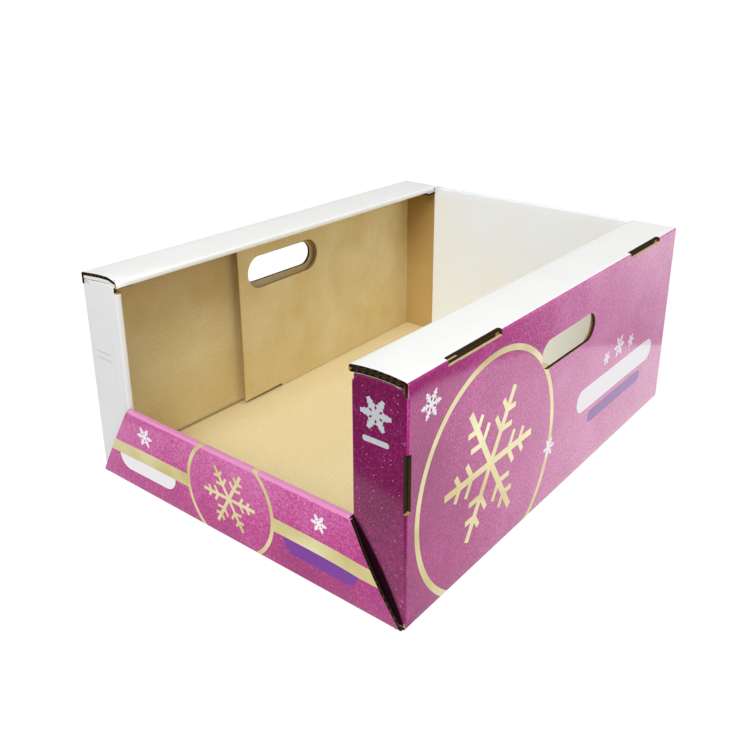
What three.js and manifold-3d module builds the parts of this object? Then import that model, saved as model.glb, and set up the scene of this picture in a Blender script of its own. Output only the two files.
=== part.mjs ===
// Counter display tray, die-cut and folded from one sheet of B-flute corrugated board.
// Millimetres, +Z up, +Y towards the back, the open low front at -Y. The origin is under the
// middle of the tray, on the surface that it stands on.
//
// The sheet is a floor panel with everything else hinged to it at creases:
//   left and right: side wall, then a ledge that turns inwards, then a hem turned back under it;
//   at the front of each side wall: a return panel, hemmed, with a glue flap under the ledge;
//   front: a low tapered lip, rolled over its top and tabbed into the floor;
//   back: a wall rolled over its top, with a handle wing turned forwards inside each side wall.
// It is built as folded strips, each drawn as a section and extruded along its creases, and the
// strips are then joined to one solid. Layers that only lie together keep a real gap.

import * as THREE from 'three';
import { mergeVertices } from 'three/addons/utils/BufferGeometryUtils.js';
import Module from 'manifold-3d';

const wasm = await Module();
wasm.setup();

// Board
const BOARD = 3; // thickness of the board
const FOLD_OUTSIDE = 2.2; // outer radius of a crease
const FOLD_INSIDE = 0.4; // inner radius of a crease
const LAYER_GAP = 0.4; // between two layers of one hem
const CLEAR = 0.5; // between a cut edge and the panel beside it

// Tray
const WIDTH = 400; // over the side walls
const DEPTH = 528; // from the face of the returns to the back
const HEIGHT = 221; // floor's underside to the ledges' top
const LEDGE = 56; // width of each ledge

// Returns at the front of the side walls
const RETURN = 54; // width of a return
const RETURN_FLAP = 51; // width of the glue flap at its top, out from the side wall
const FLAP_DEPTH = 22; // how far a glue flap reaches in under a ledge
const HEM_RELIEF = 1; // the hem's top, below the crease of the glue flap

// Front lip
const LIP_HEIGHT = 87;
const LIP_SPINE = 7; // width of its rolled top

// Back wall
const BACK_SPINE = 7; // width of its rolled top
const BACK_NOTCH = 1.5; // relief between the rolled top and a ledge

// Handle wings, turned forwards from the back wall
const WING_BORDER = 15; // board between the wing's hand hole and its front edge
const WING_DROP = 11; // top of a wing, below the ledges' top
const WING_GAP = 0.8; // between a wing and its side wall at the rear crease
const WING_SPRING = [8, 0.5]; // how far the front edge springs off the wall, left and right
const WING_STEP = [64, 3.5]; // length and height of the cut-back at the wing's lower front corner

// Hand holes, cut through the side walls and, larger, through the wings
const HOLE_LENGTH = 112;
const HOLE_HEIGHT = 30;
const HOLE_Z = 165.5; // height of the hole's middle
const HOLE_MARGIN = 5; // how much larger the wing's hole is all round

// Slots for the tabs of a lid, cut through the creases of one side wall
const SLOTTED = [1]; // the sides that have them: right only
const TOP_SLOT = 80; // length of a slot between side wall and ledge
const TOP_SLOT_FROM_MIDDLE = 133; // from the middle of the depth to the slot's near end
const TOP_SLOT_ON_LEDGE = 5; // how far it reaches onto the ledge
const TOP_SLOT_ON_WALL = 6; // how far it reaches down the wall
const FRONT_SLOT = 52; // length of the slot between side wall and return
const FRONT_SLOT_Z = 135; // height of its middle
const FRONT_SLOT_ON_RETURN = 3; // how far it reaches onto the return
const FRONT_SLOT_ON_WALL = 5.5; // how far it reaches onto the wall
const SLOT_CORNER = 2; // radius of a slot's corners

// Locking tabs of the two rolled panels, and their slots in the floor
const TAB_WIDTH = 42;
const TAB_SPACING = 160; // between the middles of the two tabs
const TAB_SHORT = 0.4; // how far a tab stays above the floor's underside

const ARC_STEPS = 5; // straight steps round a crease
const HOLE_STEPS = 16; // straight steps round half of a slot or hole
const OVERLAP = 12; // length over which two strips of the same panel run together
const PAST = 5; // how far a cutting tool reaches past what it cuts

// Places that follow from the sizes
const half = BOARD / 2;
const side = WIDTH / 2;
const wallMiddle = side - half;
const ledgeMiddle = HEIGHT - half;
const ledgeHemMiddle = ledgeMiddle - BOARD - LAYER_GAP;
const ledgeEdgeMiddle = side - LEDGE + half;
const underLedge = HEIGHT - 2 * BOARD - LAYER_GAP; // underside of the ledge's hem
const flapMiddle = underLedge - CLEAR - half;
const flapCrease = flapMiddle - half - FOLD_OUTSIDE;
const panelFoot = BOARD + CLEAR; // lower edge of the panels that stand on the floor
const lipFace = -(BOARD + CLEAR); // the lip's outer face, in front of the returns
const lipInnerMiddle = lipFace + LIP_SPINE - half;
const lipTopHalf = side - RETURN - CLEAR;
const backInnerMiddle = DEPTH - BACK_SPINE + half;
const backTopHalf = side - LEDGE - BACK_NOTCH;
const wingOuter = side - BOARD - WING_GAP;
const wingMiddle = wingOuter - half;
const wingTop = HEIGHT - WING_DROP;
const wingFront = DEPTH / 2 - HOLE_LENGTH / 2 - HOLE_MARGIN - WING_BORDER;
const frameY = -(lipFace + DEPTH) / 2; // puts the middle of the whole depth at Y = 0

// Drawing

/** A closed outline through points [a, b, radius], each corner rounded by its own radius. */
function roundedShape(points) {
  const outline = points.flatMap(([a, b, radius], i) => {
    const corner = new THREE.Vector2(a, b);
    const before = points[(i + points.length - 1) % points.length];
    const after = points[(i + 1) % points.length];
    const back = new THREE.Vector2(before[0], before[1]).sub(corner).normalize();
    const on = new THREE.Vector2(after[0], after[1]).sub(corner).normalize();
    const turn = Math.PI - Math.acos(THREE.MathUtils.clamp(back.dot(on), -1, 1));
    if (!radius || turn < 1e-6) return [corner];
    const reach = radius * Math.tan(turn / 2);
    const centre = back.clone().add(on).normalize().multiplyScalar(radius / Math.cos(turn / 2)).add(corner);
    const from = back.clone().multiplyScalar(reach).add(corner).sub(centre);
    const way = Math.sign(on.cross(back));
    return Array.from({ length: ARC_STEPS + 1 }, (_, k) =>
      from.clone().rotateAround(new THREE.Vector2(), (way * turn * k) / ARC_STEPS).add(centre));
  });
  return new THREE.Shape(outline);
}

/** The section of a folded strip of board whose middle line runs through the points [a, b]. */
function folded(points, outside = FOLD_OUTSIDE, inside = FOLD_INSIDE) {
  const middle = points.map(([a, b]) => new THREE.Vector2(a, b));
  const heading = middle.slice(1).map((p, i) => p.clone().sub(middle[i]).normalize());
  const leftOf = (d) => new THREE.Vector2(-d.y, d.x);
  const edge = (s) => middle.map((p, i) => {
    const before = heading[Math.max(i - 1, 0)];
    const after = heading[Math.min(i, heading.length - 1)];
    const mitre = leftOf(before).add(leftOf(after)).normalize();
    const reach = half / mitre.dot(leftOf(before));
    const turn = before.cross(after);
    const radius = Math.abs(turn) < 1e-6 ? 0 : turn * s > 0 ? inside : outside;
    return [p.x + s * reach * mitre.x, p.y + s * reach * mitre.y, radius];
  });
  return roundedShape([...edge(-1), ...edge(1).reverse()]);
}

/** A slot outline with round ends, length along a, centred on [a, b]. */
function stadium(a, b, length, height) {
  const shape = new THREE.Shape();
  const reach = (length - height) / 2;
  shape.absarc(a + reach, b, height / 2, -Math.PI / 2, Math.PI / 2, false);
  shape.absarc(a - reach, b, height / 2, Math.PI / 2, (3 * Math.PI) / 2, false);
  return shape;
}

// Solids

const X = new THREE.Vector3(1, 0, 0);
const Y = new THREE.Vector3(0, 1, 0);
const Z = new THREE.Vector3(0, 0, 1);
const PLANES = { x: [Y, Z, X, 1], y: [X, Z, Y, -1], z: [X, Y, Z, 1] };

function toSolid(geometry) {
  geometry.deleteAttribute('normal');
  geometry.deleteAttribute('uv');
  const merged = mergeVertices(geometry, 1e-5);
  return new wasm.Manifold(new wasm.Mesh({
    numProp: 3,
    vertProperties: new Float32Array(merged.attributes.position.array),
    triVerts: new Uint32Array(merged.index.array),
  }));
}

/** A section extruded along one axis between two places on it. */
function along(axis, shape, from, to) {
  const [a, b, normal, way] = PLANES[axis];
  const geometry = new THREE.ExtrudeGeometry(shape, {
    depth: to - from,
    bevelEnabled: false,
    curveSegments: HOLE_STEPS,
  });
  const direction = normal.clone().multiplyScalar(way);
  geometry.applyMatrix4(new THREE.Matrix4().makeBasis(a, b, direction));
  const start = direction.clone().multiplyScalar(way > 0 ? from : -to);
  geometry.translate(start.x, start.y, start.z);
  return toSolid(geometry);
}

function box(x0, x1, y0, y1, z0, z1) {
  const geometry = new THREE.BoxGeometry(x1 - x0, y1 - y0, z1 - z0);
  geometry.translate((x0 + x1) / 2, (y0 + y1) / 2, (z0 + z1) / 2);
  return toSolid(geometry);
}

const join = (parts) => parts.reduce((whole, part) => whole.add(part));
const cut = (body, tools) => tools.reduce((whole, tool) => whole.subtract(tool), body);
const HANDS = [-1, 1]; // left, right

/** The same x-section path on the left or the right. */
const handed = (hand, points) => points.map(([x, other]) => [hand * x, other]);

/** The two x places at these distances out from the middle, in rising order. */
const between = (hand, near, far) => (hand > 0 ? [near, far] : [-far, -near]);

// Panels

/** Floor, side walls, ledges and the hems under the ledges. */
function channel() {
  const oneSide = [
    [wallMiddle, half],
    [wallMiddle, ledgeMiddle],
    [ledgeEdgeMiddle, ledgeMiddle],
    [ledgeEdgeMiddle, ledgeHemMiddle],
    [side - BOARD - CLEAR, ledgeHemMiddle],
  ];
  const path = [...handed(-1, oneSide).reverse(), ...oneSide];
  const body = along('y', folded(path, FOLD_OUTSIDE, LAYER_GAP / 2), 0, DEPTH);
  const corners = HANDS.map((hand) =>
    box(...between(hand, side - BOARD - PAST, side + PAST), -PAST, FOLD_OUTSIDE, BOARD + CLEAR, flapCrease));
  const backFold = box(-wingOuter - CLEAR / 2, wingOuter + CLEAR / 2,
    DEPTH - FOLD_OUTSIDE, DEPTH + PAST, -PAST, BOARD + PAST);
  return cut(body, [...corners, backFold]);
}

/** A return panel with its hem and its glue flap. */
function returnPanel(hand) {
  const face = folded(handed(hand, [
    [wallMiddle, OVERLAP],
    [wallMiddle, half],
    [side - RETURN_FLAP, half],
  ]));
  const hem = folded(handed(hand, [
    [side - RETURN_FLAP + OVERLAP / 2, half],
    [side - RETURN + half, half],
    [side - RETURN + half, half + BOARD + LAYER_GAP],
    [side - BOARD - CLEAR, half + BOARD + LAYER_GAP],
  ]), FOLD_OUTSIDE, LAYER_GAP / 2);
  const flap = folded([
    [half, flapCrease - OVERLAP],
    [half, flapMiddle],
    [FLAP_DEPTH, flapMiddle],
  ]);
  return join([
    along('z', face, panelFoot, flapCrease),
    along('z', hem, panelFoot, flapCrease - HEM_RELIEF),
    along('x', flap, ...between(hand, side - RETURN_FLAP, side - BOARD - CLEAR)),
  ]);
}

/** The lip's outer panel, tapered to the width between the returns. */
function lipOuter() {
  const strip = along('x', folded([
    [OVERLAP, half],
    [lipFace + half, half],
    [lipFace + half, LIP_HEIGHT - FOLD_OUTSIDE],
  ]), -side, side);
  const foot = side - FOLD_OUTSIDE;
  const taper = new THREE.Shape([
    new THREE.Vector2(-foot, -PAST),
    new THREE.Vector2(foot, -PAST),
    new THREE.Vector2(foot, 0),
    new THREE.Vector2(lipTopHalf, LIP_HEIGHT),
    new THREE.Vector2(-lipTopHalf, LIP_HEIGHT),
    new THREE.Vector2(-foot, 0),
  ]);
  return strip.intersect(along('y', taper, lipFace - PAST, OVERLAP + PAST));
}

/** The lip's rolled top and its inner panel, between the returns. */
function lipRoll() {
  return along('x', folded([
    [lipFace + half, LIP_HEIGHT - OVERLAP],
    [lipFace + half, LIP_HEIGHT - half],
    [lipInnerMiddle, LIP_HEIGHT - half],
    [lipInnerMiddle, panelFoot],
  ]), -lipTopHalf, lipTopHalf);
}

/** The back wall: its outer panel, rolled top and inner panel, and the flaps under the ledges. */
function backWall() {
  const rolled = along('x', folded([
    [DEPTH - OVERLAP, half],
    [DEPTH - half, half],
    [DEPTH - half, HEIGHT - half],
    [backInnerMiddle, HEIGHT - half],
    [backInnerMiddle, panelFoot],
  ]), -backTopHalf, backTopHalf);
  const flapped = folded([
    [DEPTH - OVERLAP, half],
    [DEPTH - half, half],
    [DEPTH - half, flapMiddle],
    [DEPTH - FLAP_DEPTH, flapMiddle],
  ]);
  const shoulders = HANDS.map((hand) =>
    along('x', flapped, ...between(hand, backTopHalf - OVERLAP, wingOuter - FOLD_OUTSIDE))
      .subtract(box(...between(hand, 0, backTopHalf + CLEAR), 0, DEPTH - BOARD - CLEAR, panelFoot, HEIGHT)));
  return join([rolled, ...shoulders]);
}

/** A wing of the back wall, with its own, larger hand hole. */
function wing(hand, spring) {
  const wingFrontMiddle = wingMiddle - spring;
  const strip = along('z', folded(handed(hand, [
    [backTopHalf + OVERLAP, DEPTH - half],
    [wingMiddle, DEPTH - half],
    [wingFrontMiddle, wingFront],
  ])), panelFoot, wingTop);
  const across = between(hand, wingFrontMiddle - BOARD, wingOuter + CLEAR / 2);
  const larger = 2 * HOLE_MARGIN;
  const hole = along('x', stadium(DEPTH / 2, HOLE_Z, HOLE_LENGTH + larger, HOLE_HEIGHT + larger), ...across);
  const step = box(...across, wingFront - PAST, wingFront + WING_STEP[0], BOARD, panelFoot + WING_STEP[1]);
  return cut(strip, [hole, step]);
}

// Cuts and tabs

/** A cutting bar along one axis, with rounded corners. */
function bar(axis, a0, a1, b0, b1, from, to) {
  const corners = [[a0, b0], [a1, b0], [a1, b1], [a0, b1]];
  return along(axis, roundedShape(corners.map((corner) => [...corner, SLOT_CORNER])), from, to);
}

/** The hand hole through a side wall. */
function handHole(hand) {
  const shape = stadium(DEPTH / 2, HOLE_Z, HOLE_LENGTH, HOLE_HEIGHT);
  return along('x', shape, ...between(hand, side - BOARD - CLEAR / 2, side + PAST));
}

/** The lid slots of a side wall, each a cut in both of the panels that meet at its crease. */
function lidSlots(hand) {
  const skin = BOARD + CLEAR / 2;
  const wall = between(hand, side - skin, side + PAST);
  const topSlots = HANDS.flatMap((end) => {
    const y = DEPTH / 2 + end * (TOP_SLOT_FROM_MIDDLE + TOP_SLOT / 2);
    const ends = [y - TOP_SLOT / 2, y + TOP_SLOT / 2];
    return [
      bar('z', ...between(hand, side - TOP_SLOT_ON_LEDGE, side + PAST), ...ends, HEIGHT - skin, HEIGHT + PAST),
      bar('x', ...ends, HEIGHT - TOP_SLOT_ON_WALL, HEIGHT + PAST, ...wall),
    ];
  });
  const ends = [FRONT_SLOT_Z - FRONT_SLOT / 2, FRONT_SLOT_Z + FRONT_SLOT / 2];
  return [
    ...topSlots,
    bar('y', ...between(hand, side - FRONT_SLOT_ON_RETURN, side + PAST), ...ends, -PAST, skin),
    bar('x', -PAST, FRONT_SLOT_ON_WALL, ...ends, ...wall),
  ];
}

/** Something made at each tab of a rolled panel whose middle plane is at y. */
const atTabs = (y, grow, z0, z1) => HANDS.map((hand) => {
  const x = (hand * TAB_SPACING) / 2;
  return box(x - TAB_WIDTH / 2 - grow, x + TAB_WIDTH / 2 + grow, y - half - grow, y + half + grow, z0, z1);
});

function buildTray() {
  const rolls = [lipInnerMiddle, backInnerMiddle];
  const floorSlots = rolls.flatMap((y) => atTabs(y, CLEAR, -PAST, BOARD + CLEAR / 2));
  const tabs = rolls.flatMap((y) => atTabs(y, 0, TAB_SHORT, panelFoot + BOARD));
  const sheet = join([channel(), lipOuter(), ...HANDS.map((hand) => returnPanel(hand))]);
  const sideCuts = [...HANDS.map((hand) => handHole(hand)), ...SLOTTED.flatMap((hand) => lidSlots(hand))];
  const opened = cut(sheet, [...sideCuts, ...floorSlots]);
  const wings = HANDS.map((hand, i) => wing(hand, WING_SPRING[i]));
  return join([opened, lipRoll(), backWall(), ...wings, ...tabs]);
}

function toGeometry(solid) {
  const { vertProperties, triVerts } = solid.getMesh();
  const geometry = new THREE.BufferGeometry();
  geometry.setAttribute('position', new THREE.BufferAttribute(new Float32Array(vertProperties), 3));
  geometry.setIndex(new THREE.BufferAttribute(new Uint32Array(triVerts), 1));
  geometry.computeVertexNormals();
  return geometry;
}

const board = new THREE.MeshStandardMaterial({ color: 0xb98fae, roughness: 0.55, metalness: 0 });
const tray = new THREE.Mesh(toGeometry(buildTray()), board);
tray.name = 'display_tray';
tray.position.y = frameY;

const model = new THREE.Group();
model.add(tray);

export default model;
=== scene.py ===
"""Looks of a folded and printed corrugated display tray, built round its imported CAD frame.

Blender metres everywhere, in the frame of the CAD model. Inside the functions that follow the
folded sheet, a point is also read in millimetres from the front of the returns (the sheet's
own measures): across the tray, back from its front, and up from the counter.
"""
import math

import bmesh
import bpy
from mathutils import Matrix, Vector


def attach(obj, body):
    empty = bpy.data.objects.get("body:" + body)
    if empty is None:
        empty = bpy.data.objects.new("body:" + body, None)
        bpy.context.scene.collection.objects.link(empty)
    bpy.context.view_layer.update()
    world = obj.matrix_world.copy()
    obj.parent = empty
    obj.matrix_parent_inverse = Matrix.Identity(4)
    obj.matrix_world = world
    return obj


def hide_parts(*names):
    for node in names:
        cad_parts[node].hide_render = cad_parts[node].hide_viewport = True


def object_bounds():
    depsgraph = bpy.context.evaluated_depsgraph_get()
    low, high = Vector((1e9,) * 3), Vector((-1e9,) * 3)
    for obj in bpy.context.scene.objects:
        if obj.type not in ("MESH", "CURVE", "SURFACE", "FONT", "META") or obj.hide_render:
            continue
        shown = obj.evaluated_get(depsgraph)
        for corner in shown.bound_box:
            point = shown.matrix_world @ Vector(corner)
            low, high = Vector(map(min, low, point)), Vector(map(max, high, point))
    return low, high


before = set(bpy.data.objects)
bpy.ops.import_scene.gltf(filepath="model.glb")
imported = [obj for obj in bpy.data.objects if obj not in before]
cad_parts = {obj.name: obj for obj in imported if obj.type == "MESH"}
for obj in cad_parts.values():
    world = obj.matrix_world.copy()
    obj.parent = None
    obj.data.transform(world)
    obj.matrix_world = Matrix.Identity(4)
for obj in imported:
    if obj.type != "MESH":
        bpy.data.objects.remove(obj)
cad_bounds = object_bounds()

MM = 0.001

# Sizes of the folded sheet, in millimetres
low, high = (corner / MM for corner in cad_bounds)
HALF_WIDTH = high.x
HEIGHT = high.z
BOARD = 3.0
LEDGE = 56.0
RETURN = 54.0
LIP_HEIGHT = 87.0
LIP_FACE = -3.5  # outer face of the lip, in front of the returns
FRONT = low.y - LIP_FACE  # the returns' face, in the frame
DEPTH = high.y - FRONT
BACK_SPINE = 7.0
LIP_SHADOW_WIDTH = 5.4  # widest part of the painted shadow on the return past the lip's right end
LIP_BOW = 2.8  # how far the lip's right end stands off the return behind it
FLAP_DEPTH = 22.0  # glue flap of a return, under its ledge
FLAP_WIDTH = 51.0
END_DROP = 12.0  # how far the cut ends of wall and ledge reach down from the top
HOLE_HEIGHT = 165.5
HOLE_REACH = 62.0  # half the length that holds a hand hole
HOLE_RISE = 21.0
SLOT_REACH = 6.5  # widest reach of a lid slot from its crease
TOP_SLOTS = (132.5, 213.5)  # the top slots' ends, from the middle of the depth
FRONT_SLOT_HEIGHT = 135.0
FRONT_SLOT_RISE = 26.5
LINER = 0.36  # paper on each side of the fluting
FLUTE_PITCH = 6.5
PAPER = 0.25  # thickness of the fluting paper
WAVE_STEPS = 8  # steps of one wave of the fluting
LAYER_GAP = 0.4
FLUTE_DEPTH = 5.0  # how far into a cut edge its fluting is modelled
CELL = 14.0  # size of the small faces that the sheet is cut into
WELD = 1e-6

# How the sheet sits out of true, in millimetres
ARCH_FRONT = 110.0  # the ledges arch over this length from their front ends
ARCH_DROP = 30.0  # and take the top of the wall with them over this height
ARCH_BLEND = 20.0
ARCH_WIDTH = 55.0
LEFT_ARCH = 0.105  # slope at the wall
RIGHT_ARCH = 0.0028  # curve
LEDGE_SAG = 0.8
WALL_BOW = 0.9
WALL_LAYERS = 16.0  # reach of all that bows with a side wall, its wing too
LIP_BOW_FROM = 90.0  # the lip's ends bow from here outwards
LIP_BOW_BLEND = 70.0

# Camera, from the photograph's perspective
AZIMUTH = math.radians(37.02095)
ELEVATION = math.radians(20.43062)
ROLL = math.radians(0.557204)
CAMERA_PLACE = Vector((525.683, -703.427, 490.33))
FRAME_PIXELS = 730.0
FOCAL_PIXELS = 850.9216
CENTRE_PIXELS = (401.174, 298.163)
SENSOR = 36.0

# The round white table that the film reflects, in the frame's millimetres
TABLE_CENTRE = (-34.0, 54.0)
TABLE_RADIUS = 474.0
FLOOR_HALF = 6.0  # metres
FLOOR_DROP = 0.3  # below the tray's underside, in millimetres


def aim_camera():
    """The camera of the photograph: place, turn and off-centre picture."""
    ahead = Vector((
        -math.sin(AZIMUTH) * math.cos(ELEVATION),
        math.cos(AZIMUTH) * math.cos(ELEVATION),
        -math.sin(ELEVATION),
    ))
    right = ahead.cross(Vector((0, 0, 1))).normalized()
    up = right.cross(ahead)
    turned_right = math.cos(ROLL) * right + math.sin(ROLL) * up
    turned_up = math.cos(ROLL) * up - math.sin(ROLL) * right
    lens = bpy.data.cameras.new("camera")
    lens.sensor_width = SENSOR
    lens.lens = FOCAL_PIXELS / FRAME_PIXELS * SENSOR
    lens.shift_x = -(CENTRE_PIXELS[0] - FRAME_PIXELS / 2) / FRAME_PIXELS
    lens.shift_y = -(FRAME_PIXELS / 2 - CENTRE_PIXELS[1]) / FRAME_PIXELS
    camera = bpy.data.objects.new("camera", lens)
    turn = Matrix((turned_right, turned_up, -ahead)).transposed().to_4x4()
    camera.matrix_world = Matrix.Translation(CAMERA_PLACE * MM) @ turn
    bpy.context.collection.objects.link(camera)
    bpy.context.scene.camera = camera


class Field:
    """One number at every point of a material, with arithmetic made of Math nodes."""

    def __init__(self, nodes, socket):
        self.nodes = nodes
        self.socket = socket

    def math(self, operation, *others, clamp=False):
        node = self.nodes.new("ShaderNodeMath")
        node.operation = operation
        node.use_clamp = clamp
        for slot, value in zip(node.inputs, (self, *others)):
            connect(node, slot, value)
        return Field(self.nodes, node.outputs[0])

    def __add__(self, other):
        return self.math("ADD", other)

    def __sub__(self, other):
        return self.math("SUBTRACT", other)

    def __mul__(self, other):
        return self.math("MULTIPLY", other)

    def __neg__(self):
        return self.math("MULTIPLY", -1.0)

    def __abs__(self):
        return self.math("ABSOLUTE")

    def least(self, other):
        return self.math("MINIMUM", other)

    def most(self, other):
        return self.math("MAXIMUM", other)

    def inside(self, soft=0.15):
        """1 where this distance is below zero and 0 above, over a soft edge in millimetres."""
        return (self * (-1.0 / soft)).math("ADD", 0.5, clamp=True)

    def ramp(self, low_end, high_end):
        """0 at low_end to 1 at high_end."""
        return (self - low_end).math("DIVIDE", high_end - low_end, clamp=True)


def connect(node, slot, value):
    """Sets a node's input to a field, another socket or a constant."""
    if isinstance(value, Field):
        value = value.socket
    if isinstance(value, bpy.types.NodeSocket):
        node.id_data.links.new(value, slot)
    else:
        slot.default_value = value


class Finish:
    """A material under construction: its place on the sheet and one Principled shader."""

    def __init__(self, name, **shader):
        self.material = bpy.data.materials.new(name)
        self.material.use_nodes = True
        self.nodes = self.material.node_tree.nodes
        self.shader = self.nodes["Principled BSDF"]
        for socket, value in shader.items():
            self.shader.inputs[socket.replace("_", " ")].default_value = value
        self.place = self.nodes.new("ShaderNodeTexCoord").outputs["Object"]
        split = self.nodes.new("ShaderNodeSeparateXYZ")
        connect(split, split.inputs[0], self.place)
        across, back, up = (Field(self.nodes, out) * (1 / MM) for out in split.outputs)
        self.across = across
        self.back = back - FRONT
        self.up = up

    def noise(self, scale, detail=2.0, stretch=(1, 1, 1), roughness=0.5):
        """Noise from 0 to 1 whose features are scale millimetres wide."""
        mapping = self.nodes.new("ShaderNodeMapping")
        mapping.inputs["Scale"].default_value = stretch
        connect(mapping, mapping.inputs["Vector"], self.place)
        node = self.nodes.new("ShaderNodeTexNoise")
        connect(node, node.inputs["Vector"], mapping.outputs[0])
        node.inputs["Scale"].default_value = 1 / (scale * MM)
        node.inputs["Detail"].default_value = detail
        node.inputs["Roughness"].default_value = roughness
        return Field(self.nodes, node.outputs["Fac"])

    def specks(self, cell):
        """A cell pattern: distance to the nearest speck, in cells, and its own random number."""
        node = self.nodes.new("ShaderNodeTexVoronoi")
        connect(node, node.inputs["Vector"], self.place)
        node.inputs["Scale"].default_value = 1 / (cell * MM)
        chance = self.nodes.new("ShaderNodeSeparateColor")
        connect(chance, chance.inputs[0], node.outputs["Color"])
        from_speck = Field(self.nodes, node.outputs["Distance"])
        return from_speck, Field(self.nodes, chance.outputs[0])

    def mix(self, factor, below, above):
        """Colour below where factor is 0, and colour above where it is 1."""
        node = self.nodes.new("ShaderNodeMix")
        node.data_type = "RGBA"
        for slot, value in zip((node.inputs[0], node.inputs[6], node.inputs[7]), (factor, below, above)):
            connect(node, slot, value)
        return node.outputs[2]

    def set(self, socket, value):
        connect(self.shader, self.shader.inputs[socket], value)

    def bump(self, height, depth):
        """Relief from a height field, full height being depth millimetres."""
        node = self.nodes.new("ShaderNodeBump")
        node.inputs["Distance"].default_value = depth * MM
        connect(node, node.inputs["Height"], height)
        self.set("Normal", node.outputs[0])


def ink(red, green, blue):
    """A colour given in screen values from 0 to 255, as Blender's linear colour."""

    def linear(value):
        share = value / 255
        return ((share + 0.055) / 1.055) ** 2.4 if share > 0.04 else share / 12.92

    return (linear(red), linear(green), linear(blue), 1.0)


KRAFT = ink(222, 198, 136)
KRAFT_DARK = ink(184, 152, 90)
KRAFT_SHADE = ink(138, 92, 38)
KRAFT_LIGHT = ink(238, 222, 176)
# painted shade for the inside corner between floor and side wall
KRAFT_CORNER_SHADE = ink(120, 88, 46)
LINER_WHITE = ink(246, 246, 244)
LINER_COOL = ink(239, 247, 255)  # evens out the warm light that the kraft sides throw on it
# the liner's white painted greyer: painted shade on the unprinted return
SHADED_RETURN_WHITE = ink(226, 226, 227)
LINER_SHADE = ink(240, 240, 239)
MAGENTA = ink(184, 34, 132)
MAGENTA_DEEP = ink(104, 10, 66)
MAGENTA_PALE = ink(224, 140, 192)
GLITTER = ink(250, 205, 232)
GOLD = "gold"  # marks a shape as foil, whose colour goes from the first to the second below
GOLD_SHADE = ink(222, 204, 130)
GOLD_LIGHT = ink(255, 248, 196)
PRINT_WHITE = ink(238, 236, 240)
PRINT_GREY = ink(186, 190, 194)
PURPLE = ink(116, 28, 150)
# colour of the painted shadow on the return beside the lip's slanted end
LIP_SHADOW = ink(34, 8, 22)


def kraft(name, stripes, towards=KRAFT, share=0.0, shade=0.0):
    """Unbleached inner liner. stripes is the axis that the faint flute lines repeat along; towards and
    share shift its whole colour, which on the floor is painted light and on the back strips painted
    shade; and shade is how much painted shade darkens it towards the ledges above."""
    paper = Finish(name, Roughness=0.82)
    paper.shader.inputs["Specular IOR Level"].default_value = 0.25
    along = {"across": paper.across, "back": paper.back, "up": paper.up}[stripes]
    ridge = (along * (2 * math.pi / FLUTE_PITCH)).math("SINE") * 0.5 + 0.5
    wander = paper.noise(60, 3)
    fibre = paper.noise(1.1, 4, (1, 0.35, 1), 0.65)
    cross_fibre = paper.noise(1.4, 4, (0.4, 1, 0.4), 0.65)
    clouds = paper.mix(wander.ramp(0.3, 0.75), KRAFT, KRAFT_LIGHT)
    clouds = paper.mix(share, clouds, towards)
    strands = (fibre.least(cross_fibre)).ramp(0.52, 0.28) * 0.28
    coloured = paper.mix(strands, clouds, KRAFT_DARK)
    coloured = paper.mix(ridge * 0.05, coloured, KRAFT_DARK)
    # painted shade in the inside corner where the side wall meets the floor
    crease = abs(paper.across).ramp(HALF_WIDTH - 6, HALF_WIDTH - BOARD) * paper.up.ramp(BOARD + 4, BOARD)
    coloured = paper.mix(crease * 0.7, coloured, KRAFT_CORNER_SHADE)
    from_fleck, chance = paper.specks(2.6)
    fleck = (from_fleck - 0.16).inside(0.08) * chance.ramp(0.86, 0.9)
    coloured = paper.mix(fleck * 0.5, coloured, KRAFT_DARK)
    # painted shade under the ledges
    painted_ledge_shade = paper.up.ramp(90, HEIGHT - 2 * BOARD) * shade
    paper.set("Base Color", paper.mix(painted_ledge_shade, coloured, KRAFT_SHADE))
    paper.bump(ridge * 0.4 + fibre * 0.3, 0.05)
    return paper.material


def white_liner(name, tint=LINER_WHITE):
    """Coated white outer liner, smooth, with the fluting just showing through."""
    paper = Finish(name, Roughness=0.38)
    cloud = paper.noise(45, 3)
    fine = paper.noise(0.9, 3)
    colour = paper.mix(cloud.ramp(0.35, 0.8) * 0.6, tint, LINER_SHADE)
    paper.set("Base Color", colour)
    paper.set("Roughness", fine * 0.12 + 0.34)
    paper.bump(fine * 0.3 + paper.noise(7, 2), 0.03)
    return paper


def cut_edge(name, dark, light):
    """The raw edge of the board."""
    paper = Finish(name, Roughness=0.95)
    paper.shader.inputs["Specular IOR Level"].default_value = 0.1
    grain = paper.noise(0.5, 3)
    paper.set("Base Color", paper.mix(grain.ramp(0.3, 0.7), dark, light))
    paper.bump(grain, 0.1)
    return paper.material


# Places of the print, in millimetres
WALL_BARS = 392.0  # middle of the wall's two bars, along it
BAND_HEIGHT = 41.5
BAND_WIDTH = 14.0
LIP_RING_HEIGHT = 44.0
LIP_RING_RADIUS = 56.0
LABEL_HALF = (16.0, 46.0)  # half width and half height of the empty label's outline


def distance(u, v):
    """Distance from the point where both fields are zero."""
    return (u * u + v * v).math("SQRT")


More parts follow.
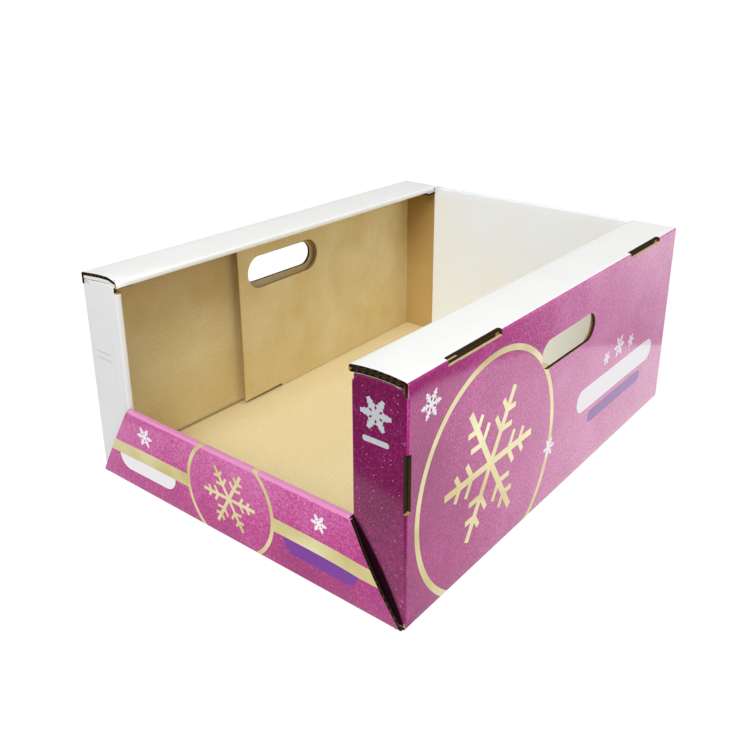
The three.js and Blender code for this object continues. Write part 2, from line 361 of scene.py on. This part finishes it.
def snowflake(u, v, size, arm):
    """Distance to a plain six-armed snowflake, below zero inside."""
    radius = distance(u, v)
    angle = v.math("ARCTAN2", u).math("WRAP", math.pi / 6, -math.pi / 6).math("ABSOLUTE")
    x = radius * angle.math("COSINE")
    y = radius * angle.math("SINE")
    flake = (y - arm).most(x - size)
    slant = math.pi / 3
    for start, length in ((0.42, 0.26), (0.68, 0.2)):
        from_start = x - size * start
        aside = abs(from_start * math.sin(slant) - y * math.cos(slant))
        along = from_start * math.cos(slant) + y * math.sin(slant)
        flake = flake.least((aside - arm * 0.8).most(along - size * length).most(-along))
    return flake


def ring(u, v, radius, width):
    return abs(distance(u, v) - radius) - width / 2


def pill(u, v, length, height):
    """Distance to a bar with round ends, centred on the origin of u and v."""
    beyond = (abs(u) - (length - height) / 2).most(0.0)
    return distance(beyond, v) - height / 2


def film(name, shapes, tone):
    """Glossy printed film with fine glitter.

    shapes(finish) gives [(shape, colour), ...], each shape a distance that is below zero inside.
    tone(finish) is the depth of the field's colour, from 0 where it is deepest to 1 where it is
    palest.
    """
    print_ = Finish(name, Roughness=0.35, Coat_Weight=1.0, Coat_Roughness=0.08, Coat_IOR=1.52)
    print_.shader.inputs["Specular IOR Level"].default_value = 0.1
    grain = print_.noise(0.8, 3, (1, 1, 1), 0.7)
    shade = tone(print_) + (print_.noise(70, 3) - 0.5) * 0.5 + (grain - 0.5) * 1.1
    shade = shade + (print_.noise(2.4, 2) - 0.5) * 0.7
    field = print_.mix(shade.ramp(0.0, 0.5), MAGENTA_DEEP, MAGENTA)
    field = print_.mix(shade.ramp(0.5, 1.0), field, MAGENTA_PALE)
    for cell, share, strength in ((1.1, 0.82, 0.42), (2.1, 0.9, 0.6)):
        from_speck, chance = print_.specks(cell)
        spark = (from_speck - 0.2).inside(0.2) * chance.ramp(share, share + 0.04)
        field = print_.mix(spark * strength, field, GLITTER)
    # the foil's paler and darker patches: painted reflections and glints
    foil = print_.mix(print_.noise(55, 2).ramp(0.35, 0.7), GOLD_SHADE, GOLD_LIGHT)
    gold_cover = None
    for shape, colour in shapes(print_):
        cover = shape.inside()
        field = print_.mix(cover, field, foil if colour is GOLD else colour)
        if colour is GOLD:
            gold_cover = cover if gold_cover is None else gold_cover.most(cover)
    print_.set("Base Color", field)
    if gold_cover is not None:
        print_.set("Metallic", gold_cover * 0.45)
    print_.bump(grain + print_.noise(5, 2) * 0.6, 0.025)
    return print_.material


def wall_print(finish, u):
    """Simple shapes of the side walls: ring with a snowflake, small flakes and two bars.

    u runs along the wall from its first end and v up, both in millimetres.
    """
    v = finish.up
    bars = u - WALL_BARS
    return [
        (ring(u - 126, v - 88, 112, 6), GOLD),
        (snowflake(u - 124, v - 96, 72, 3.4), GOLD),
        (snowflake(u - 30, v - 192, 13, 1.2), PRINT_WHITE),
        (snowflake(u - 236, v - 60, 11, 1.1), PRINT_WHITE),
        (pill(bars, v - 82, 196, 26), PRINT_WHITE),
        (pill(bars, v - 56, 138, 14), PURPLE),
        (snowflake(bars, v - 116, 13, 1.2), PRINT_WHITE),
        (snowflake(bars + 32, v - 112, 8, 0.9), PRINT_WHITE),
        (snowflake(bars - 32, v - 112, 8, 0.9), PRINT_WHITE),
    ]


def lip_print(finish):
    """Simple shapes of the lip: a band, two half bars under it and a ring with a snowflake."""
    u = finish.across
    v = finish.up
    left = u + 120
    right = u - 112
    ring_v = v - LIP_RING_HEIGHT
    outside_ring = -(distance(u, ring_v) - LIP_RING_RADIUS)
    below_band = v - (BAND_HEIGHT - BAND_WIDTH / 4)
    return [
        (pill(left, v - 34, 86, 30).most(below_band), PRINT_WHITE),
        (pill(right, v - 34, 86, 28).most(below_band), PURPLE),
        ((abs(v - BAND_HEIGHT) - BAND_WIDTH / 2).most(outside_ring), GOLD),
        (ring(u, ring_v, LIP_RING_RADIUS, 4), GOLD),
        (snowflake(u, ring_v, 34, 1.8), GOLD),
        (snowflake(left, v - 66, 11, 1.1), PRINT_WHITE),
        (snowflake(right, v - 66, 9, 1.0), PRINT_WHITE),
    ]


def lip_slant(finish):
    """Distance across the return from the lip's slanted end, in mm."""
    return finish.across + finish.up * ((RETURN - 2) / LIP_HEIGHT) - HALF_WIDTH


def return_print(finish):
    """Simple shapes of the printed return: a flake over a bar, and a painted shadow beside the lip's
    slanted end.
    """
    u = finish.across - (HALF_WIDTH - RETURN / 2 - 3)
    v = finish.up
    # width of the painted shadow, widest halfway up the lip
    shadow_width = v * (-v + LIP_HEIGHT) * (4 * LIP_SHADOW_WIDTH / LIP_HEIGHT ** 2)
    return [
        # painted shadow on the return beside the lip's slanted end, drawn like a print shape
        ((lip_slant(finish) - shadow_width).most(v - LIP_HEIGHT), LIP_SHADOW),
        (snowflake(u, v - 186, 15, 1.9), PRINT_GREY),
        (pill(u, v - 163, 26, 5), PRINT_GREY),
    ]


def fold_highlight_and_shade(finish):
    """Painted light along the front fold: painted shade low down, and a painted pale highlight near the
    top.
    """
    return finish.up.ramp(130, 215) * 0.5 - 0.2


def wall_tone(finish, u):
    """The wall's field: deeper at the front and paler to the rear, partly the print's own gradient and
    partly a painted reflection of the white table, with painted highlight and shade along its front
    fold.
    """
    # paler to the rear partly as painted reflection; painted highlight and shade at the front fold
    return u.ramp(20, 330) * 0.44 + u.ramp(2.2, 0.4) * fold_highlight_and_shade(finish) + 0.36


def lip_tone(finish):
    """The lip's field: paler towards the left, with a painted sheen higher up and a painted highlight
    along its rolled top.
    """
    # painted highlight along the rolled top
    spine_highlight = finish.up.ramp(LIP_HEIGHT - 3, LIP_HEIGHT - 0.6) * 0.7
    # painted sheen, paler higher up
    return finish.up.ramp(15, 84) * 0.24 + finish.across.ramp(200, -200) * 0.26 + spine_highlight + 0.32


def back_tone(finish):
    """The back's field: a little paler towards its foot."""
    return finish.up.ramp(HEIGHT, 0) * 0.2 + 0.4


def return_tone(finish):
    """The printed return's field: deep at the top, with painted shade along the lip's slanted end and
    painted highlight and shade along its front fold.
    """
    # painted shade on the return along the lip's slanted end
    painted_lip_shade = lip_slant(finish).ramp(9, 2) * finish.up.ramp(LIP_HEIGHT, LIP_HEIGHT - 10)
    # painted highlight and shade along the return's side of the front fold
    fold_light = finish.across.ramp(HALF_WIDTH - 2, HALF_WIDTH - 0.5) * fold_highlight_and_shade(finish)
    return finish.up.ramp(200, 0) * 0.3 + fold_light - painted_lip_shade * 0.8 - 0.05


def bare_return():
    """The unprinted return, its white painted a little greyer as shade, with a thin outline of an empty
    label and two short bars.
    """
    paper = white_liner("white_return")
    u = paper.across + HALF_WIDTH - 22
    v = paper.up
    label = abs((abs(u) - LABEL_HALF[0]).most(abs(v - 136) - LABEL_HALF[1])) - 0.25
    bars = pill(u, v - 140, 24, 2).least(pill(u, v - 133, 24, 2))
    colour = paper.mix(label.inside(0.2) * 0.4, SHADED_RETURN_WHITE, PRINT_GREY)
    paper.set("Base Color", paper.mix(bars.inside(0.2) * 0.5, colour, PRINT_GREY))
    return paper.material


def wall_film(name, from_end):
    """A side wall's film. from_end(finish) is the distance along the wall from one end."""
    return film(
        name,
        lambda finish: wall_print(finish, from_end(finish)),
        lambda finish: wall_tone(finish, from_end(finish)))


FINISHES = {
    # the floor's kraft lifted towards the pale kraft: painted light
    "kraft_floor": kraft("kraft_floor", "across", KRAFT_LIGHT, 0.9),
    # painted shade towards the ledges
    "kraft_wall": kraft("kraft_wall", "up", KRAFT_LIGHT, 0.2, 0.42),
    "kraft_wing": kraft("kraft_wing", "back"),
    # the back strips' kraft lowered towards the dark kraft, with more towards the ledges: painted shade
    "kraft_back": kraft("kraft_back", "across", KRAFT_DARK, 0.8, 0.55),
    "cut": cut_edge("cut_edge", ink(150, 114, 62), ink(198, 166, 110)),
    "liner_edge": cut_edge("liner_edge", ink(170, 140, 92), ink(222, 204, 162)),
    # the cut edge's kraft darkened where it lies in holes, slots and gaps: painted shade
    "shaded_hollow": cut_edge("shaded_hollow", ink(40, 30, 20), ink(74, 58, 38)),
    # the fluting's kraft darkened where it stands inside the cut ends: painted shade
    "flute": cut_edge("flute", ink(84, 64, 38), ink(120, 96, 62)),
    # near-black where the flutes stand open in the cut ends: painted shade
    "end": cut_edge("end", ink(34, 26, 18), ink(62, 48, 32)),
    "white": white_liner("white").material,
    "white_inside": white_liner("white_inside", LINER_COOL).material,
    "white_return": bare_return(),
    "right_wall": wall_film("right_wall_print", lambda finish: finish.back),
    "left_wall": wall_film("left_wall_print", lambda finish: -finish.back + DEPTH),
    "lip": film("lip_print", lip_print, lip_tone),
    "right_return": film("right_return_print", return_print, return_tone),
    "back": film("back_print", lip_print, back_tone),
}


# How a face of the sheet is told from its neighbours
SLACK = 0.1  # millimetres
WIDE_SLACK = 0.3
SLANTED = 0.3  # share of a normal along an axis, as the next three are
HALF_TURNED = 0.5
SQUARE = 0.7
SQUARELY = 0.9
CREASE = 2.3  # a fold's outer radius and a little more
LIP_INSIDE = 2.0  # just before the inner face of the lip's inner panel
LIP_TURNOVER = 12.0  # how far the print reaches down the lip's inside
BEFORE_RETURNS = -0.45  # just in front of the returns' face
BACK_NOTCH = 1.4
BACK_SHOULDER = 20.0  # height of the cut edges beside the back wall's rolled top
FLAP_DROP = END_DROP + 4
HEM_SHOWN = 5.0  # width of a ledge's cut end that shows beside the left return
HEM_REACH = 1.5  # how far the rules for a ledge hold below its two layers
FOLD_FOOT = 0.6
FOLD_SHOWN = 2.5  # width of the white that shows round a return's inner fold


def sheet_place(point):
    """A point of the frame in the sheet's millimetres: across, back and up."""
    return point.x / MM, point.y / MM - FRONT, point.z / MM


class Spot:
    """A face of the sheet: its place in the sheet's millimetres and the way it faces."""

    def __init__(self, centre, normal):
        self.x, self.y, self.z = sheet_place(centre)
        self.right = self.x > 0
        self.out = abs(self.x)
        self.normal = normal
        self.outwards = normal.x if self.right else -normal.x

    def wall(self):
        return "right_wall" if self.right else "left_wall"

    def printed_return(self):
        return "right_return" if self.right else "white_return"

    def beside_wall(self):
        """Whether it lies on the side wall's outer skin or on a fold from it."""
        return self.out > HALF_WIDTH - CREASE


def opening_finish(spot):
    """Hand holes in the side walls, and lid slots on the right."""
    in_hole = abs(spot.y - DEPTH / 2) < HOLE_REACH and abs(spot.z - HOLE_HEIGHT) < HOLE_RISE
    in_wall = HALF_WIDTH - BOARD < spot.out < HALF_WIDTH - SLACK
    if in_hole and in_wall and abs(spot.normal.x) < SLANTED:
        return "shaded_hollow"
    behind_skin = abs(spot.normal.y) > HALF_TURNED or spot.out < HALF_WIDTH - WIDE_SLACK
    if not (spot.right and behind_skin and in_slot(spot.out, spot.y, spot.z)):
        return None
    if spot.normal.z < SQUARE:
        return "shaded_hollow"
    return "liner_edge" if HEIGHT - SLOT_REACH < spot.z < HEIGHT - BOARD else None


def lip_finish(spot):
    """The lip: rolled top and inner panel between the returns, and outer panel before them."""
    rolled = spot.y < LIP_FACE + BACK_SPINE + SLACK and spot.out < HALF_WIDTH - RETURN
    if rolled and spot.z > BOARD + 1:
        if abs(spot.normal.x) > HALF_TURNED:
            return "shaded_hollow"
        if spot.normal.y > HALF_TURNED:
            if spot.y <= LIP_INSIDE:
                return "kraft_back"
            return "lip" if spot.z > LIP_HEIGHT - LIP_TURNOVER else "white"
        on_film = spot.normal.z > SLANTED or spot.y < LIP_FACE + 1
        return "lip" if on_film else "kraft_back"
    if spot.y >= BEFORE_RETURNS:
        return None
    if abs(spot.normal.x) > SLANTED and spot.normal.z > SLACK:
        return "end"
    return "lip" if spot.normal.y < HALF_TURNED else "kraft_back"


def back_finish(spot):
    """The back wall's rolled top and inner panel, between the ledges."""
    between = spot.out < HALF_WIDTH - LEDGE - BACK_NOTCH
    if not (between and spot.y > DEPTH - BACK_SPINE - SLACK and spot.z > BOARD + LAYER_GAP):
        return None
    if abs(spot.normal.x) > HALF_TURNED or spot.normal.z < -HALF_TURNED:
        if spot.z < HEIGHT - BACK_SHOULDER:
            return "cut"
        return "white" if spot.right else "shaded_hollow"
    if spot.y > DEPTH - CREASE:
        if spot.normal.z > SQUARE:
            return "white"
        return "back" if spot.normal.y > SLANTED else "kraft_back"
    shows = spot.y < DEPTH - BACK_SPINE + 2 * SLACK or spot.normal.z > SLANTED
    return "white_inside" if shows else "kraft_back"


def end_finish(spot):
    """Cut ends: of the flaps under the ledges, and of the ledges and walls themselves."""
    from_front_flap = abs(spot.out - HALF_WIDTH + FLAP_WIDTH)
    front_flap = spot.y < FLAP_DEPTH + 1 and from_front_flap < WIDE_SLACK and abs(spot.normal.x) > SQUARE
    from_back_flap = abs(spot.out - HALF_WIDTH + LEDGE + 1)
    back_flap = spot.y > DEPTH - 2 * FLAP_DEPTH and from_back_flap < 2 * WIDE_SLACK
    if (front_flap or back_flap and spot.outwards < -HALF_TURNED) and spot.z > HEIGHT - FLAP_DROP:
        return "shaded_hollow"
    if not (is_cut_end(spot.x, spot.y, spot.z) and abs(spot.normal.y) > SQUARELY):
        return None
    under_ledge = spot.z < HEIGHT - BOARD - 2 * SLACK and spot.out < HALF_WIDTH - BOARD
    covered = not spot.right and spot.y < SLACK and under_ledge
    return "white_return" if covered and spot.out > HALF_WIDTH - LEDGE + HEM_SHOWN else "end"


def ledge_finish(spot):
    """A ledge and the hem under it."""
    if spot.z <= HEIGHT - 2 * BOARD - HEM_REACH:
        return None
    if abs(spot.normal.y) > SQUARE:
        return "shaded_hollow"
    if spot.beside_wall() and spot.outwards > SQUARE:
        return spot.wall()
    if spot.out < HALF_WIDTH - LEDGE + CREASE + SLACK and spot.outwards < -2 * SLACK:
        return "white"
    if spot.z > HEIGHT - CREASE - SLACK or spot.z < HEIGHT - 2 * BOARD - 2 * SLACK:
        return "white" if abs(spot.normal.z) > SLANTED else "cut"
    if spot.normal.z > HALF_TURNED:
        return "shaded_hollow"
    return "kraft_wall" if spot.normal.z < -HALF_TURNED else "cut"


def outside_finish(spot):
    """The side walls' outer skins, their front folds, and the back wall's outside."""
    if spot.beside_wall() and spot.outwards > SQUARE and spot.y > CREASE - SLACK:
        return spot.wall()
    if spot.beside_wall() and spot.y < CREASE and spot.z > BOARD + FOLD_FOOT:
        if spot.outwards > SQUARE:
            return spot.wall()
        return "cut" if abs(spot.normal.z) > SQUARE else spot.printed_return()
    if spot.y > DEPTH - CREASE and spot.out < HALF_WIDTH - BOARD and spot.z > 2 * SLACK:
        return "cut" if max(abs(spot.normal.x), abs(spot.normal.z)) > SQUARE else "back"
    return None


def return_finish(spot):
    """A return, its hem and the flaps at its top."""
    if spot.y < 2 * BOARD + 1 and spot.out > HALF_WIDTH - RETURN - SLACK and spot.z > BOARD + 2 * SLACK:
        if abs(spot.normal.z) > SQUARE and spot.z < HEIGHT - END_DROP:
            return "cut"
        if spot.normal.y < -SLANTED - SLACK and spot.y < CREASE or spot.normal.z > SLANTED:
            return spot.printed_return()
        behind = spot.normal.y > HALF_TURNED and spot.y > 2 * BOARD
        at_fold = spot.out < HALF_WIDTH - RETURN + FOLD_SHOWN and spot.outwards < -2 * SLACK
        return "white" if behind or at_fold else "kraft_back"
    if spot.z > HEIGHT - END_DROP and spot.out > HALF_WIDTH - LEDGE:
        if spot.normal.z > HALF_TURNED:
            return "white"
        flap_edge = abs(spot.normal.y) > SQUARE and spot.out < HALF_WIDTH - BOARD - 1
        return "shaded_hollow" if flap_edge else "kraft_back"
    return None


def inside_finish(spot):
    """What is left: the floor, the back wall's and side walls' insides, and the wings."""
    if spot.z < BOARD and spot.y < 1 and spot.out > HALF_WIDTH - 2 * BOARD:
        return "shaded_hollow"
    if spot.z < BOARD + WIDE_SLACK and abs(spot.normal.z) > HALF_TURNED:
        return "kraft_floor" if spot.normal.z > 0 else "white"
    if spot.y > DEPTH - BOARD - SLACK:
        return "kraft_back" if spot.normal.y < -HALF_TURNED else "cut"
    if spot.out > HALF_WIDTH - BOARD - SLACK:
        return "kraft_wall" if spot.outwards < -SQUARE else "cut"
    if abs(spot.normal.y) > SQUARELY or abs(spot.normal.z) > HALF_TURNED:
        return "cut"
    return "kraft_wing" if spot.outwards < 0 else "white"


def finish_of(centre, normal):
    """Which finish a face of the tray has, from where it is and which way it faces."""
    spot = Spot(centre, normal)
    for panel in (opening_finish, lip_finish, back_finish, end_finish, ledge_finish,
                  outside_finish, return_finish):
        finish = panel(spot)
        if finish:
            return finish
    return inside_finish(spot)


def settle(point):
    """How the real sheet sits a little out of true: arched ledges and softly bowed walls."""
    x, y, z = sheet_place(point)
    out = abs(x)
    inwards = HALF_WIDTH - out
    shift = Vector((0, 0, 0))
    if z > HEIGHT - ARCH_DROP and inwards < LEDGE + 1:
        share = min(1.0, (z - (HEIGHT - ARCH_DROP)) / ARCH_BLEND)
        if x < 0:
            lift = LEFT_ARCH * inwards * (1 - (inwards / ARCH_WIDTH) ** 6)
        else:
            lift = RIGHT_ARCH * inwards * (ARCH_WIDTH - inwards)
        shift.z += share * lift * max(0.0, 1 - y / ARCH_FRONT) ** 2
        if z > HEIGHT - 2 * BOARD - 1:
            shift.z -= LEDGE_SAG * (inwards / LEDGE) ** 2 * math.sin(math.pi * y / DEPTH)
    if y < -LAYER_GAP and 0 < z < LIP_HEIGHT and out > LIP_BOW_FROM:
        bow = math.sin(math.pi * z / LIP_HEIGHT) * min(1.0, (out - LIP_BOW_FROM) / LIP_BOW_BLEND) ** 2
        shift.y -= (LIP_BOW if x > 0 else LIP_BOW / 3) * bow
    if out > HALF_WIDTH - WALL_LAYERS and z < HEIGHT - BOARD - 1:
        bow = math.sin(math.pi * min(max(y / DEPTH, 0), 1)) * math.sin(math.pi * z / HEIGHT)
        shift.x -= math.copysign(WALL_BOW * bow, x)
    return point + shift * MM


def in_slot(out, y, z):
    """Whether a place lies in or just behind one of the lid slots."""
    from_middle = abs(y - DEPTH / 2)
    at_top = TOP_SLOTS[0] < from_middle < TOP_SLOTS[1] and z > HEIGHT - 2 * SLOT_REACH
    at_front = SLACK < y < 2 * SLOT_REACH and abs(z - FRONT_SLOT_HEIGHT) < FRONT_SLOT_RISE
    return (at_top or at_front) and out > HALF_WIDTH - SLOT_REACH


def is_cut_end(x, y, z):
    """Whether a place lies at a front or rear end of a ledge, or of the wall under it."""
    out = abs(x)
    if SLACK < y < DEPTH - SLACK:
        return False
    if out > HALF_WIDTH - BOARD - SLACK:
        return z > HEIGHT - END_DROP or y > 1
    return z > HEIGHT - 2 * BOARD - 2 * WIDE_SLACK and out > HALF_WIDTH - LEDGE - 1


def open_ends(sheet, end, liner, shaded):
    """Sinks the cut ends between their two liners, so that the flutes stand open. end, liner and
    shaded are material slots: shaded is for the lip's liners, which lie in its own shadow."""

    def ends():
        return [face for face in sheet.faces if face.material_index == end]

    bmesh.ops.dissolve_faces(sheet, faces=ends())
    rims = bmesh.ops.inset_region(sheet, faces=ends(), thickness=LINER * MM, depth=0)
    for face in rims["faces"]:
        in_lip = face.calc_center_median().y / MM < FRONT
        face.material_index = shaded if in_lip else liner
    for face in ends():
        inwards = -face.normal * FLUTE_DEPTH * MM
        if abs(face.normal.y) > SQUARELY:
            inwards = Vector((0, -math.copysign(FLUTE_DEPTH, face.calc_center_median().y) * MM, 0))
        moved = bmesh.ops.extrude_face_region(sheet, geom=[face])["geom"]
        corners = [part for part in moved if isinstance(part, bmesh.types.BMVert)]
        bmesh.ops.translate(sheet, verts=corners, vec=inwards)
        for corner in corners:
            corner.co.z = max(corner.co.z, LINER * MM)
        if face.is_valid:
            bmesh.ops.delete(sheet, geom=[face], context="FACES_ONLY")


def new_piece(name, mesh_data, materials):
    mesh = bpy.data.meshes.new(name)
    mesh_data.to_mesh(mesh)
    mesh_data.free()
    for material in materials:
        mesh.materials.append(material)
    piece = bpy.data.objects.new(name, mesh)
    bpy.context.collection.objects.link(piece)
    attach(piece, "root")
    return piece


def build_tray():
    """The folded sheet: the CAD solid cut into small faces, finished by panel and settled."""
    sheet = bmesh.new()
    sheet.from_mesh(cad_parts["display_tray"].data)
    bmesh.ops.remove_doubles(sheet, verts=sheet.verts, dist=WELD)
    for axis in range(3):
        start, end = cad_bounds[0][axis], cad_bounds[1][axis]
        count = int((end - start) / (CELL * MM))
        for i in range(1, count):
            place = Vector((0, 0, 0))
            place[axis] = start + (end - start) * i / count
            normal = Vector((0, 0, 0))
            normal[axis] = 1
            bmesh.ops.bisect_plane(
                sheet, geom=[*sheet.verts, *sheet.edges, *sheet.faces],
                plane_co=place, plane_no=normal, dist=WELD)
    names = list(FINISHES)
    for face in sheet.faces:
        face.material_index = names.index(finish_of(face.calc_center_median(), face.normal))
        face.smooth = True
    open_ends(sheet, *(names.index(name) for name in ("end", "liner_edge", "shaded_hollow")))
    for vertex in sheet.verts:
        vertex.co = settle(vertex.co)
    piece = new_piece("tray_sheet", sheet, FINISHES.values())
    piece.data.set_sharp_from_angle(angle=math.radians(32))
    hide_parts("display_tray")
    return piece


def ribbon(strip, start, end, aside, inwards):
    """One layer's fluting: a wavy ribbon from start to end, set back a little from the cut."""
    length = (end - start).length
    along = (end - start).normalized()
    swing = BOARD / 2 - LINER - PAPER
    count = int(length / FLUTE_PITCH * WAVE_STEPS)
    rows = []
    for i in range(count + 1):
        travel = length * i / count
        phase = 2 * math.pi * travel / FLUTE_PITCH
        centre = start + along * travel + aside * (swing * math.sin(phase)) + inwards
        slope = (along + aside * (swing * 2 * math.pi / FLUTE_PITCH * math.cos(phase))).normalized()
        across = slope.cross(inwards).normalized() * (PAPER / 2)
        corners = (centre + across, centre + across + inwards * (FLUTE_DEPTH - 1),
                   centre - across + inwards * (FLUTE_DEPTH - 1), centre - across)
        rows.append([strip.verts.new(settle(Vector((p.x, p.y + FRONT, p.z)) * MM)) for p in corners])
    for before, after in zip(rows, rows[1:]):
        for i in range(4):
            j = (i + 1) % 4
            strip.faces.new((before[i], before[j], after[j], after[i]))
    strip.faces.new(rows[0][::-1])
    strip.faces.new(rows[-1])


def build_fluting():
    """The flutes that show in the cut ends of the ledges and of the lip."""
    strip = bmesh.new()
    up = Vector((0, 0, 1))
    for hand in (-1, 1):
        for y, inwards in ((0, Vector((0, 1, 0))), (DEPTH, Vector((0, -1, 0)))):
            for layer in (0, 1):
                if layer and hand < 0 and y == 0:
                    continue
                z = HEIGHT - BOARD / 2 - layer * (BOARD + LAYER_GAP)
                outer = HALF_WIDTH - BOARD - 1 - layer
                inner = HALF_WIDTH - LEDGE + BOARD
                ribbon(strip, Vector((hand * outer, y, z)), Vector((hand * inner, y, z)), up, inwards)
        foot = Vector((hand * (HALF_WIDTH - 4), LIP_FACE + BOARD / 2, 4))
        top = Vector((hand * (HALF_WIDTH - RETURN - 1), LIP_FACE + BOARD / 2, LIP_HEIGHT - 4))
        slant = (top - foot).normalized()
        aside = Vector((0, 1, 0))
        inwards = Vector((-hand * slant.z, 0, hand * slant.x))
        ribbon(strip, foot - inwards * 0.6, top - inwards * 0.6, aside, inwards)
    bmesh.ops.recalc_face_normals(strip, faces=strip.faces)
    return new_piece("fluting", strip, [FINISHES["flute"]])


def build_stage():
    """A pale floor that shows white to the camera and keeps the tray's shadow."""
    floor = bmesh.new()
    bmesh.ops.create_grid(floor, x_segments=1, y_segments=1, size=FLOOR_HALF)
    bmesh.ops.translate(floor, verts=floor.verts, vec=(0, 0, -FLOOR_DROP * MM))
    mesh = bpy.data.meshes.new("floor")
    floor.to_mesh(mesh)
    floor.free()
    ground = bpy.data.materials.new("floor")
    ground.use_nodes = True
    nodes = ground.node_tree.nodes
    nodes.remove(nodes["Principled BSDF"])
    output = nodes["Material Output"]

    def diffuse(level):
        node = nodes.new("ShaderNodeBsdfDiffuse")
        node.inputs["Color"].default_value = (level, level, level, 1)
        return node.outputs[0]

    def glow(strength):
        node = nodes.new("ShaderNodeEmission")
        connect(node, node.inputs["Strength"], strength)
        return node.outputs[0]

    def mixed(factor, below, above):
        node = nodes.new("ShaderNodeMixShader")
        for slot, value in zip(node.inputs, (factor, below, above)):
            connect(node, slot, value)
        return node.outputs[0]

    place = nodes.new("ShaderNodeSeparateXYZ")
    connect(place, place.inputs[0], nodes.new("ShaderNodeTexCoord").outputs["Object"])
    x, y, _ = (Field(nodes, out) * (1 / MM) for out in place.outputs)
    from_centre = distance(x - TABLE_CENTRE[0], y - TABLE_CENTRE[1])
    seen = nodes.new("ShaderNodeAddShader")
    connect(seen, seen.inputs[0], diffuse(0.35))
    connect(seen, seen.inputs[1], glow(from_centre.ramp(600, 2500) * 0.25 + 0.76))
    table = (from_centre - TABLE_RADIUS).inside(12)
    beyond = y.ramp(150, 900) * 1.1 + 0.06
    near = y.ramp(-300, 100) * 0.62 + 0.58
    reflected = glow(table * near + (-table + 1.0) * beyond)
    path = nodes.new("ShaderNodeLightPath")
    shader = mixed(path.outputs["Is Camera Ray"], diffuse(0.8), seen.outputs[0])
    shader = mixed(path.outputs["Is Glossy Ray"], shader, reflected)
    connect(output, output.inputs["Surface"], shader)
    mesh.materials.append(ground)
    piece = bpy.data.objects.new("floor", mesh)
    bpy.context.collection.objects.link(piece)


def light_scene():
    """Soft studio light: an even world, white to the camera, and three large softboxes."""
    world = bpy.data.worlds.new("studio")
    bpy.context.scene.world = world
    world.use_nodes = True
    nodes = world.node_tree.nodes
    background = nodes["Background"]
    path = nodes.new("ShaderNodeLightPath")
    camera = Field(nodes, path.outputs["Is Camera Ray"])
    glossy = Field(nodes, path.outputs["Is Glossy Ray"])
    level = camera + (-camera + 1.0) * (glossy * 0.2 + 0.3)
    background.inputs["Color"].default_value = (1, 1, 1, 1)
    connect(background, background.inputs["Strength"], level)
    for name, place, size, power in (
        ("front_softbox", (0.75, -2.35, 2.5), 2.2, 90.0),
        ("overhead_softbox", (0.3, 0.3, 1.9), 1.6, 6.0),
        ("side_softbox", (1.6, 0.3, 0.9), 1.4, 7.0),
    ):
        lamp = bpy.data.lights.new(name, "AREA")
        lamp.shape = "DISK"
        lamp.size = size
        lamp.energy = power
        softbox = bpy.data.objects.new(name, lamp)
        softbox.location = place
        softbox.rotation_mode = "QUATERNION"
        softbox.rotation_quaternion = Vector(place).to_track_quat("Z", "Y")
        bpy.context.collection.objects.link(softbox)


aim_camera()
light_scene()
build_stage()
build_tray()
build_fluting()

bpy.context.scene.view_settings.view_transform = "Standard"
